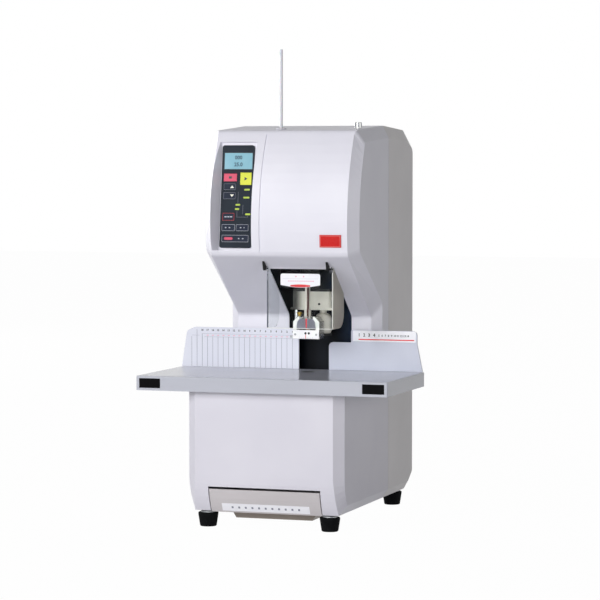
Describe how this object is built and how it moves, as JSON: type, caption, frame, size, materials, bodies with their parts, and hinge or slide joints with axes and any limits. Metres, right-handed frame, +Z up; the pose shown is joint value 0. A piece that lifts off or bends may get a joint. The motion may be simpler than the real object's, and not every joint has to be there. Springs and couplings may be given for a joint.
{
  "type": "binding machine",
  "caption": "Electric document binding machine: drills paper stacks over a steel table, cuts and sets plastic tube rivets under a clear guard, with chip drawer and control panel.",
  "frame": {"origin": "centre of the bounding box's footprint, on the surface that the feet stand on", "axes": "+Z up, -Y towards the user, +X to the user's right"},
  "size_m": [0.45, 0.455, 0.822],
  "materials": {
    "casing": "moulded ABS with a satin bluish-white coating",
    "rear_casing": "moulded ABS with a satin warm grey coating",
    "table": "glossy light grey, mirror-like",
    "fence": "satin pale blue-grey",
    "black_plastic": "black moulded plastic",
    "rubber": "matte black",
    "panel": "black-navy membrane",
    "display": "cyan display window",
    "key_red": "red-pink key",
    "key_yellow": "yellow key",
    "key_dark": "dark key",
    "badge": "plain red label",
    "clear": "clear acrylic",
    "white_plastic": "white plastic",
    "cast": "die-cast, beige-grey",
    "steel": "bright machined",
    "zinc": "zinc-plated sheet",
    "brass": "turned brass",
    "frame": "painted dark grey",
    "motor": "black motor can",
    "belt": "black flat belt",
    "nylon": "milky nylon",
    "board": "green circuit board"
  },
  "bodies": {
    "machine": {"base_plate": "zinc", "main_frame": "frame", "lower_front_cover": "casing", "head_cover": "casing", "rear_cover": "rear_casing", "work_table": "table", "drill_pad": "black_plastic", "left_fence": "fence", "left_fence_bracket": "black_plastic", "right_fence": "fence", "right_fence_bracket": "black_plastic", "apron_cap_left": "black_plastic", "apron_cap_right": "black_plastic", "throat_liner": "black_plastic", "foot_front_left": "rubber", "foot_front_right": "rubber", "foot_rear_left": "rubber", "foot_rear_right": "rubber", "drawer_runner_left": "zinc", "drawer_runner_right": "zinc", "control_panel": "panel", "display_window": "display", "front_badge": "badge", "guard_bracket_left": "black_plastic", "guard_bracket_right": "black_plastic", "guide_rod_left": "steel", "guide_rod_right": "steel", "lift_motor": "motor", "tube_bush": "black_plastic", "power_inlet": "black_plastic", "control_board": "board", "power_supply": "zinc"},
    "guard": {"safety_guard": "clear"},
    "drawer": {"chip_drawer": "casing"},
    "carriage": {"drill_head": "cast", "drill_motor": "motor", "drive_belt": "belt", "rivet_head": "cast", "lift_nut": "brass"},
    "screw": {"lead_screw": "steel"},
    "spindle": {"drill_spindle": "steel", "hollow_drill": "steel"},
    "pulley": {"motor_pulley": "steel"},
    "foot": {"press_foot": "clear", "foot_plate": "steel", "foot_scale": "white_plastic", "foot_screw": "brass"},
    "tube": {"nylon_tube": "nylon"},
    "roller_left": {"feed_roller_left": "rubber"},
    "roller_right": {"feed_roller_right": "rubber"},
    "rocker": {"power_rocker": "key_red"},
    "knob": {"depth_knob": "black_plastic"},
    "key_stop_cap": {"key_stop": "key_red"},
    "key_start_cap": {"key_start": "key_yellow"},
    "key_up_cap": {"key_up": "key_dark"},
    "key_down_cap": {"key_down": "key_dark"},
    "key_mode_cap": {"key_mode": "key_dark"},
    "key_left_cap": {"key_left": "key_dark"},
    "key_right_cap": {"key_right": "key_dark"},
    "key_power_cap": {"key_power": "key_dark"}
  },
  "joints": [
    {"name": "guard_swing", "type": "hinge", "parent": "machine", "child": "guard", "pos_m": [0.03, -0.1075, 0.442], "axis": [-1, 0, 0], "range_deg": [0, 95]},
    {"name": "drawer_slide", "type": "slide", "parent": "machine", "child": "drawer", "axis": [0, -1, 0], "range_m": [0, 0.14]},
    {"name": "carriage_lift", "type": "slide", "parent": "machine", "child": "carriage", "axis": [0, 0, 1], "range_m": [-0.056, 0]},
    {"name": "screw_turn", "type": "hinge", "parent": "machine", "child": "screw", "pos_m": [0.03, 0.0145, 0.462], "axis": [0, 0, 1], "range_deg": [0, 2521]},
    {"name": "spindle_turn", "type": "hinge", "parent": "carriage", "child": "spindle", "pos_m": [0.03, -0.0595, 0.352], "axis": [0, 0, 1], "continuous": true},
    {"name": "pulley_turn", "type": "hinge", "parent": "carriage", "child": "pulley", "pos_m": [0.095, -0.0645, 0.512], "axis": [0, 0, 1], "continuous": true},
    {"name": "foot_press", "type": "slide", "parent": "carriage", "child": "foot", "axis": [0, 0, 1], "range_m": [0, 0.04], "stiffness_N_per_m": 200, "springref_m": -0.01},
    {"name": "tube_feed", "type": "slide", "parent": "machine", "child": "tube", "axis": [0, 0, 1], "range_m": [-0.05, 0]},
    {"name": "roller_left_turn", "type": "hinge", "parent": "machine", "child": "roller_left", "pos_m": [-0.0301, -0.0555, 0.6], "axis": [0, 1, 0], "range_deg": [0, 410]},
    {"name": "roller_right_turn", "type": "hinge", "parent": "machine", "child": "roller_right", "pos_m": [-0.0099, -0.0555, 0.6], "axis": [0, 1, 0], "range_deg": [-410, 0]},
    {"name": "rocker_tilt", "type": "hinge", "parent": "machine", "child": "rocker", "pos_m": [-0.075, 0.2223, 0.1175], "axis": [1, 0, 0], "range_deg": [-16, 0]},
    {"name": "knob_turn", "type": "hinge", "parent": "machine", "child": "knob", "pos_m": [0.112, -0.0275, 0.69], "axis": [0, 0, 1], "range_deg": [0, 300]},
    {"name": "key_stop_press", "type": "slide", "parent": "machine", "child": "key_stop_cap", "axis": [0, 0.9941, -0.1089], "range_m": [0, 0.0004], "stiffness_N_per_m": 1000, "springref_m": -0.0001},
    {"name": "key_start_press", "type": "slide", "parent": "machine", "child": "key_start_cap", "axis": [0, 0.9941, -0.1089], "range_m": [0, 0.0004], "stiffness_N_per_m": 1000, "springref_m": -0.0001},
    {"name": "key_up_press", "type": "slide", "parent": "machine", "child": "key_up_cap", "axis": [0, 0.9941, -0.1089], "range_m": [0, 0.0004], "stiffness_N_per_m": 1000, "springref_m": -0.0001},
    {"name": "key_down_press", "type": "slide", "parent": "machine", "child": "key_down_cap", "axis": [0, 0.9941, -0.1089], "range_m": [0, 0.0004], "stiffness_N_per_m": 1000, "springref_m": -0.0001},
    {"name": "key_mode_press", "type": "slide", "parent": "machine", "child": "key_mode_cap", "axis": [0, 0.9941, -0.1089], "range_m": [0, 0.0004], "stiffness_N_per_m": 1000, "springref_m": -0.0001},
    {"name": "key_left_press", "type": "slide", "parent": "machine", "child": "key_left_cap", "axis": [0, 0.9941, -0.1089], "range_m": [0, 0.0004], "stiffness_N_per_m": 1000, "springref_m": -0.0001},
    {"name": "key_right_press", "type": "slide", "parent": "machine", "child": "key_right_cap", "axis": [0, 0.9941, -0.1089], "range_m": [0, 0.0004], "stiffness_N_per_m": 1000, "springref_m": -0.0001},
    {"name": "key_power_press", "type": "slide", "parent": "machine", "child": "key_power_cap", "axis": [0, 0.9941, -0.1089], "range_m": [0, 0.0004], "stiffness_N_per_m": 1000, "springref_m": -0.0001}
  ],
  "couplings": [
    {"joint": "screw_turn", "follows": "carriage_lift", "rad_per_m": -785.4},
    {"joint": "pulley_turn", "follows": "spindle_turn", "ratio": 1.2857},
    {"joint": "roller_left_turn", "follows": "tube_feed", "rad_per_m": -142.86},
    {"joint": "roller_right_turn", "follows": "tube_feed", "rad_per_m": 142.86}
  ]
}
